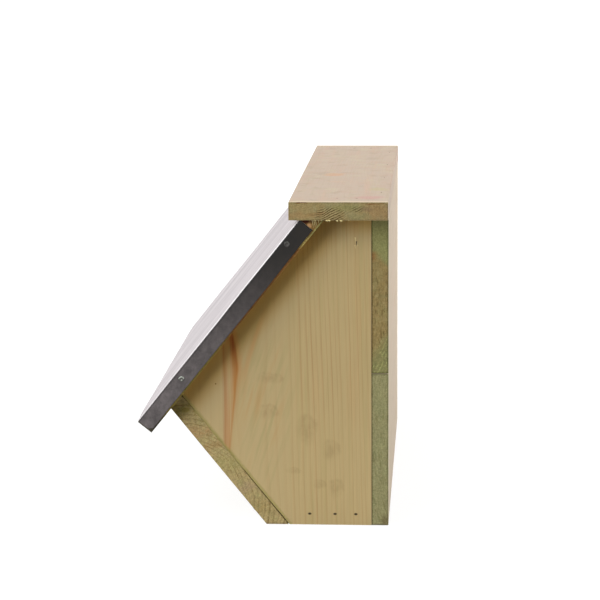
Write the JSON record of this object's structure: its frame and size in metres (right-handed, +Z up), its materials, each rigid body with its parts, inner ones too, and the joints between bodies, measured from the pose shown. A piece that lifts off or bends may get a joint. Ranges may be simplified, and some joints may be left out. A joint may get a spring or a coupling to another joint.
{
  "type": "bird nest box",
  "caption": "Wide wooden nest box for swifts with a sloping zinc-covered roof, an oval entrance and a lower front that swings out for cleaning.",
  "frame": {"origin": "middle of the bounding box on the plane that the box stands on", "axes": "+Z up, -Y towards the entrance and the sloping roof, +Y towards the wall, +X to the right seen from the front"},
  "size_m": [0.424, 0.2158, 0.286],
  "materials": {
    "pine_panel": "planed, pressure treated, upright grain",
    "pine_board": "planed, pressure treated, level grain with green end grain",
    "zinc_sheet": "dull zinc sheet, folded over the ends",
    "hinge_steel": "zinc plated",
    "nail_steel": "dull galvanised"
  },
  "bodies": {
    "box": {"top_board": "pine_board", "upper_back_board": "pine_board", "lower_back_board": "pine_board", "left_side_panel": "pine_panel", "right_side_panel": "pine_panel", "floor_board": "pine_board", "roof_board": "pine_board", "roof_sheet": "zinc_sheet", "left_hinge_roof_leaf": "hinge_steel", "left_hinge_pin": "hinge_steel", "right_hinge_roof_leaf": "hinge_steel", "right_hinge_pin": "hinge_steel", "hinge_roof_screws": "hinge_steel", "left_floor_brads": "nail_steel", "right_floor_brads": "nail_steel", "floor_back_brads": "nail_steel", "upper_back_brads": "nail_steel", "lower_back_brads": "nail_steel", "top_board_brads": "nail_steel", "roof_board_brads": "nail_steel", "left_sheet_nails": "nail_steel", "right_sheet_nails": "nail_steel"},
    "flap": {"cleaning_flap": "pine_board", "left_hinge_flap_leaf": "hinge_steel", "right_hinge_flap_leaf": "hinge_steel", "hinge_flap_screws": "hinge_steel", "flap_lock_screws": "hinge_steel"}
  },
  "joints": [
    {"name": "flap_hinge", "type": "hinge", "parent": "box", "child": "flap", "pos_m": [0, -0.08096, 0.09956], "axis": [-1, 0, 0], "range_deg": [0, 75]}
  ]
}
